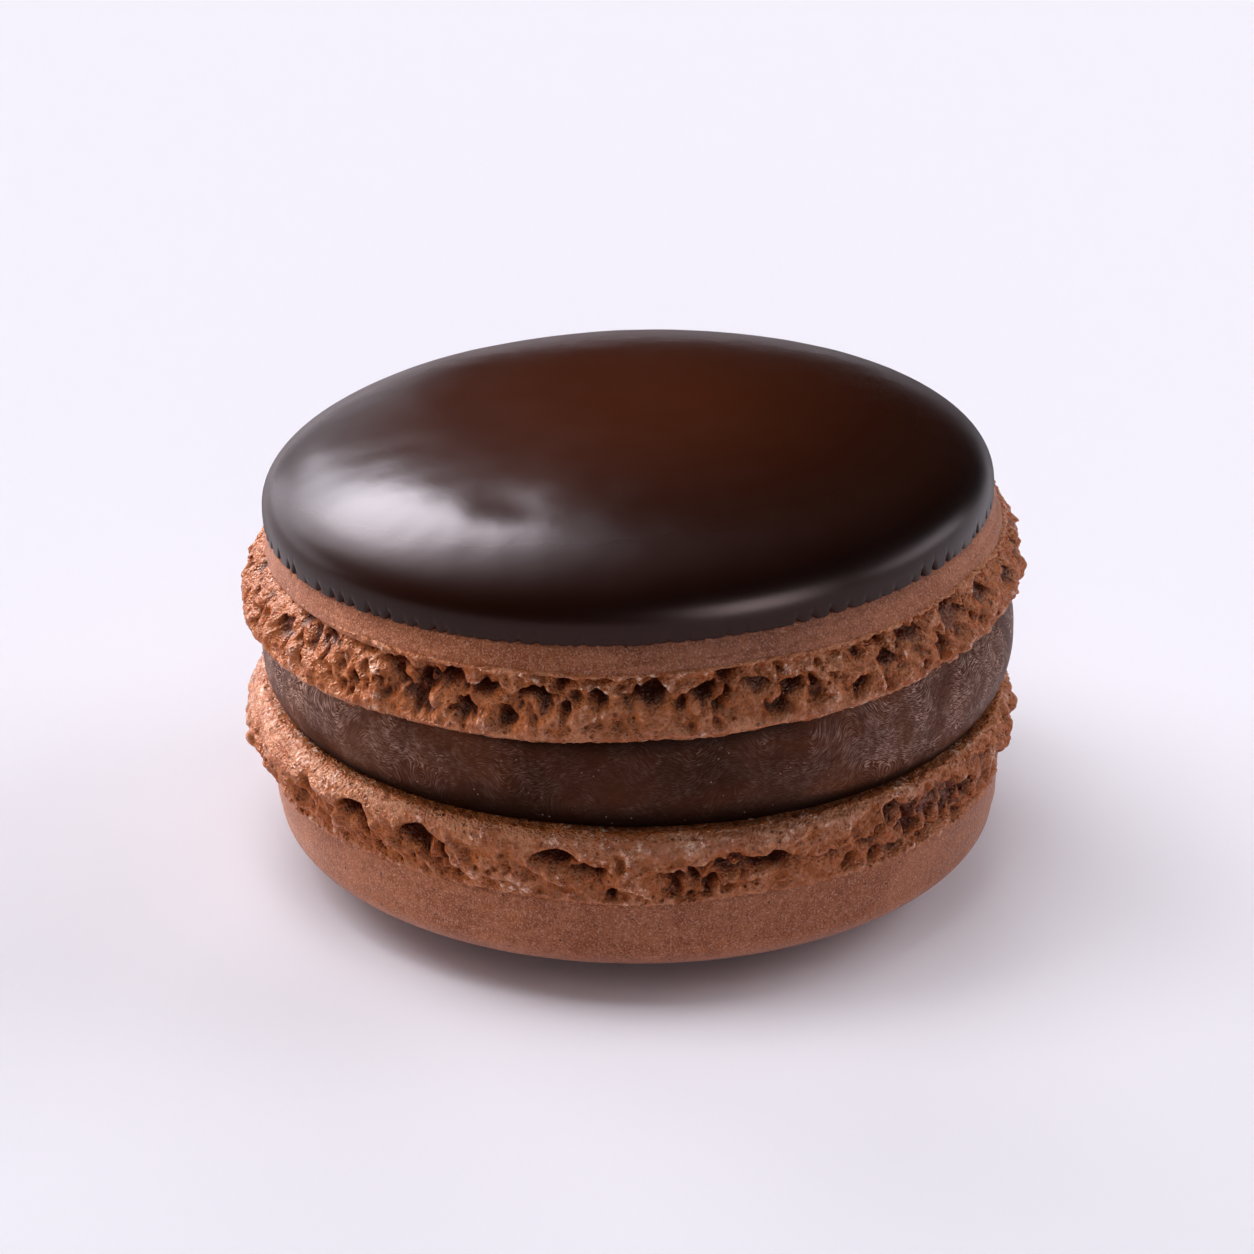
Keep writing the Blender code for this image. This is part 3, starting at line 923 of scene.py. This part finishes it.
def makeGanache(material):
    look = ganache
    bottom = stack["lowerLip"] - look["overlap"]
    top = stack["upperLip"] + look["overlap"]
    points = [(0.0, top), (look["endRadius"] - 1.5, top)]
    width = look["radius"] - look["endRadius"]
    for step in range(look["rings"] + 1):
        share = step / look["rings"]
        bulge = math.sin(math.pi * (0.04 + 0.95 * share)) ** look["bulge"]
        points.append((look["endRadius"] + width * bulge, top + (bottom - top) * share))
    points += [(look["endRadius"] - 1.5, bottom), (0.0, bottom)]
    body = turnProfile(points, look["sectorSteps"])
    litShareLayer = body.verts.layers.float.new("litShare")
    for vert in body.verts:
        point = vert.co.copy()
        radius = math.hypot(point.x, point.y)
        share = (point.z - bottom) / (top - bottom)
        side = abs(point.x) / look["radius"]
        # painted light and shade: towards both shells and at the front the strokes' painted sheen fades
        # and the side is painted darker
        litShare = smoothStep(0.02, 0.36, share) * smoothStep(1.0, 0.72 + 0.18 * side, share)
        # on the left the strokes stay near the upper shell
        leftLow = smoothStep(0.62, 0.30, share) * smoothStep(0.0, -0.5, point.x / look["radius"])
        litShare *= 1.0 - 0.55 * leftLow
        # painted light: the left and right sides are painted as lit, the front much less
        vert[litShareLayer] = litShare * (0.18 + 0.82 * smoothStep(0.25, 0.80, side))
        if radius > look["endRadius"] - 1.0:
            outward = Vector((point.x / radius, point.y / radius, 0.0))
            uneven = sum(depth * noise.noise(point / size) for size, depth in look["uneven"])
            uneven += look["rightBulge"] * smoothStep(0.70, 0.97, outward.x)
            vert.co += outward * uneven * math.sin(math.pi * min(1.0, max(0.0, share)))
        vert.co.z += (point.x - stack["upperShift"]) * math.tan(math.radians(stack["lean"])) * share
    return finishPiece(body, "ganacheBand", Matrix.Identity(4), "ganache_filling", material)


ganacheLooks = {
    "tucked": (0.014, 0.0040, 0.0018),      # in the shade of the shells
    "deep": (0.054, 0.0135, 0.0046),
    "brown": (0.094, 0.028, 0.0110),
    "stroke": (0.64, 0.40, 0.33),
    "speck": (0.42, 0.30, 0.24),
    "strokesRound": 58.0,       # repeats of the strokes in a radian round the side
    "strokesUp": 38.0,          # and in a millimetre of height
    "strokeWander": 7.0,        # how far they climb and fall
    "specks": (2.1, 0.06, 0.12),
    "bump": (0.9, 0.045),
    "plain": {"Roughness": 0.42, "Specular IOR Level": 0.04, "Specular Tint": (1.0, 0.70, 0.60, 1.0)},
}


def ganacheMaterial():
    # spread ganache: fine hair-like strokes that wander round the side, painted pale as a sheen where
    # light falls, painted shade towards the shells, and pale specks
    look = ganacheLooks
    material, tree, shader, place = newMaterial("ganacheSwirled")
    litShare = attributeValue(tree, "litShare")
    broad = remap(tree, noiseAt(tree, place, 0.3, 3.0, 0.5), 0.35, 0.65)
    colour = mixColours(tree, broad, look["deep"], look["brown"])
    # painted shade towards both shells and at the front
    colour = mixColours(tree, remap(tree, litShare, 0.0, 0.30), look["tucked"], colour)
    split = tree.nodes.new("ShaderNodeSeparateXYZ")
    tree.links.new(place, split.inputs["Vector"])
    turn = calculate(tree, "ARCTAN2", split.outputs["X"], times(tree, split.outputs["Y"], -1.0))
    wander = times(tree, noiseAt(tree, place, 0.24, 1.0), look["strokeWander"])
    level = plus(tree, split.outputs["Z"], wander)
    join = tree.nodes.new("ShaderNodeCombineXYZ")
    tree.links.new(times(tree, turn, look["strokesRound"]), join.inputs["X"])
    tree.links.new(times(tree, level, look["strokesUp"]), join.inputs["Z"])
    strokes = noiseAt(tree, join.outputs["Vector"], 1.0, 1.0, 0.5, 0.5)
    # strokes show in patches, and break up within them
    where = remap(tree, noiseAt(tree, place, 0.5), 0.34, 0.60, 0.25, 1.0)
    broken = remap(tree, noiseAt(tree, place, 1.7, 2.0, 0.6), 0.36, 0.58, 0.45, 1.0)
    # the strokes are real ridges in the bump; their pale colour is painted sheen where the side is lit
    pale = times(tree, times(tree, remap(tree, strokes, 0.47, 0.66), where), litShare)
    colour = mixColours(tree, times(tree, pale, broken), colour, look["stroke"])
    scattered = remap(tree, noiseAt(tree, place, 0.9, 1.0), 0.52, 0.60, 0.0, 0.7)
    specks = times(tree, spotsAt(tree, place, *look["specks"]), scattered)
    colour = mixColours(tree, specks, colour, look["speck"])
    tree.links.new(colour, shader.inputs["Base Color"])
    height = plus(tree, strokes, times(tree, noiseAt(tree, place, 7.0, 2.0, 0.6), 0.35))
    tree.links.new(bumpFrom(tree, height, *look["bump"]), shader.inputs["Normal"])
    setPlain(shader, look["plain"])
    return material


studio = {
    "elevation": 24.0,      # the photo looks down at about this angle
    "distance": 250.0,
    "aim": (-0.41, 0.0, 13.78),
    "pixelsPerMillimetre": 17.53,
    "picture": 1254,
    "floorColour": (0.895, 0.862, 0.955, 1.0),
    "worldColour": (0.9, 0.92, 1.0, 1.0),
    "worldStrength": 0.01,
    # wide soft lights: turn from the front, elevation, softness, strength
    "shellLights": {
        "key": (-135.0, 36.0, 28.0, 3.6),
        "keyAbove": (-135.0, 56.0, 28.0, 1.85),
        "farRight": (135.0, 55.0, 28.0, 1.45),
        "left": (-90.0, 15.0, 28.0, 1.60),
        "front": (10.0, 22.0, 40.0, 0.17),
        "leftAbove": (-90.0, 52.0, 28.0, 0.4),
        "right": (90.0, 15.0, 28.0, 0.8),
    },
    "coatingLights": {
        "coatingKey": (-135.0, 36.0, 28.0, 5.6),
        "coatingFill": (-60.0, 50.0, 40.0, 0.25),
    },
    "floorLights": {
        "backLeftLow": (-135.0, 15.0, 28.0, 1.05),
        "backLow": (180.0, 15.0, 28.0, 0.80),
        "backRightLow": (135.0, 15.0, 28.0, 0.50),
        "frontLow": (0.0, 15.0, 28.0, 0.35),
        "leftHigh": (-90.0, 55.0, 28.0, 0.85),
        "above": (-60.0, 80.0, 32.0, 1.06),
        "rightHigh": (100.0, 32.0, 36.0, 0.80),
        "frontHigh": (0.0, 50.0, 40.0, 0.47),
    },
    "glossySuns": ("key", "keyAbove", "farRight", "leftAbove"),
    # boxes that only show as gloss: turn, elevation, distance, width, height and power
    "glossBoxes": {
        "mainGloss": (-152.0, 39.0, 1.2, 0.46, 0.38, 5.8),
        "midGloss": (-143.0, 36.0, 1.2, 0.72, 0.72, 7.0),
        "wideGloss": (-136.0, 36.0, 1.2, 1.1, 1.1, 1.6),
        "lowGloss": (-128.0, 10.0, 1.2, 1.10, 0.34, 2.5),
        "backGloss": (-164.0, 8.0, 1.2, 0.30, 0.36, 0.14),
        "frontGloss": (38.0, 20.0, 1.2, 0.62, 0.72, 12.0),
        "rimGloss": (100.0, 14.0, 1.2, 0.80, 0.40, 4.0),
    },
    # and the same for the gloss on the feet alone
    "footGlossBoxes": {
        "leftSheen": (-58.0, 50.0, 1.2, 0.34, 0.34, 6.0),
        "rightSheen": (80.0, 50.0, 1.2, 0.34, 0.34, 4.5),
    },
    "glossColour": (1.0, 1.03, 1.16),
    "footGlossColour": (1.0, 0.94, 0.90),
}


def makeCamera():
    look = studio
    camera = bpy.data.objects.new("camera", bpy.data.cameras.new("camera"))
    bpy.context.scene.collection.objects.link(camera)
    elevation = math.radians(look["elevation"])
    back = Vector((0.0, -math.cos(elevation), math.sin(elevation)))
    camera.location = (Vector(look["aim"]) + back * look["distance"]) * mm
    camera.rotation_euler = back.to_track_quat("Z", "Y").to_euler()
    camera.data.sensor_width = 36.0
    camera.data.lens = 36.0 * look["pixelsPerMillimetre"] * look["distance"] / look["picture"]
    camera.data.clip_start = 0.01
    bpy.context.scene.camera = camera


def makeLight(name, kind, turn, elevation, distance):
    light = bpy.data.lights.new(name, kind)
    lamp = bpy.data.objects.new(name, light)
    bpy.context.scene.collection.objects.link(lamp)
    turn, elevation = math.radians(turn), math.radians(elevation)
    level = math.cos(elevation)
    direction = Vector((math.sin(turn) * level, -math.cos(turn) * level, math.sin(elevation)))
    lamp.location = direction * distance
    lamp.rotation_euler = direction.to_track_quat("Z", "Y").to_euler()
    return lamp


def makeGlossBox(name, box, colour):
    turn, elevation, distance, width, height, power = box
    lamp = makeLight(name, "AREA", turn, elevation, distance)
    lamp.data.shape = "RECTANGLE"
    lamp.data.size = width
    lamp.data.size_y = height
    lamp.data.energy = power
    lamp.data.color = colour
    lamp.visible_diffuse = False
    return lamp


def lightOnly(lamp, lit):
    group = bpy.data.collections.new(lamp.name + "Lit")
    for thing in lit:
        group.objects.link(thing)
    lamp.light_linking.receiver_collection = group


def makeFloor():
    body = bmesh.new()
    bmesh.ops.create_grid(body, x_segments=1, y_segments=1, size=3.0)
    mesh = bpy.data.meshes.new("floor")
    body.to_mesh(mesh)
    body.free()
    floor = bpy.data.objects.new("floor", mesh)
    bpy.context.scene.collection.objects.link(floor)
    material = bpy.data.materials.new("paleFloor")
    material.use_nodes = True
    shader = material.node_tree.nodes["Principled BSDF"]
    setPlain(shader, {"Base Color": studio["floorColour"], "Roughness": 0.9, "Specular IOR Level": 0.0})
    mesh.materials.append(material)
    return floor


def makeLights(shells, coatingPiece, floor):
    # each group of lights reaches only its own pieces
    look = studio
    litBy = {"shellLights": shells, "coatingLights": [coatingPiece], "floorLights": [floor]}
    for group, lit in litBy.items():
        for name, (turn, elevation, softness, strength) in look[group].items():
            lamp = makeLight(name, "SUN", turn, elevation, 2.0)
            lamp.data.angle = math.radians(softness)
            lamp.data.energy = strength
            lamp.visible_glossy = name in look["glossySuns"]
            lightOnly(lamp, lit)
    for name, box in look["glossBoxes"].items():
        makeGlossBox(name, box, look["glossColour"])
    feet = [shell for shell in shells if shell.name.endswith("Foot")]
    for name, box in look["footGlossBoxes"].items():
        lightOnly(makeGlossBox(name, box, look["footGlossColour"]), feet)


def makeWorld():
    world = bpy.data.worlds.new("studio")
    world.use_nodes = True
    background = world.node_tree.nodes["Background"]
    setPlain(background, {"Color": studio["worldColour"], "Strength": studio["worldStrength"]})
    bpy.context.scene.world = world
    bpy.context.scene.view_settings.view_transform = "Standard"


makeCamera()
print("shells")
footLook, skinLook = footMaterial(), skinMaterial()
shells = [*makeLowerShell(footLook, skinLook), *makeUpperShell(footLook, skinLook)]
print("coating and ganache")
coatingPiece = makeCoating(coatingMaterial())
shells.append(makeGanache(ganacheMaterial()))
print("studio")
makeLights(shells, coatingPiece, makeFloor())
makeWorld()
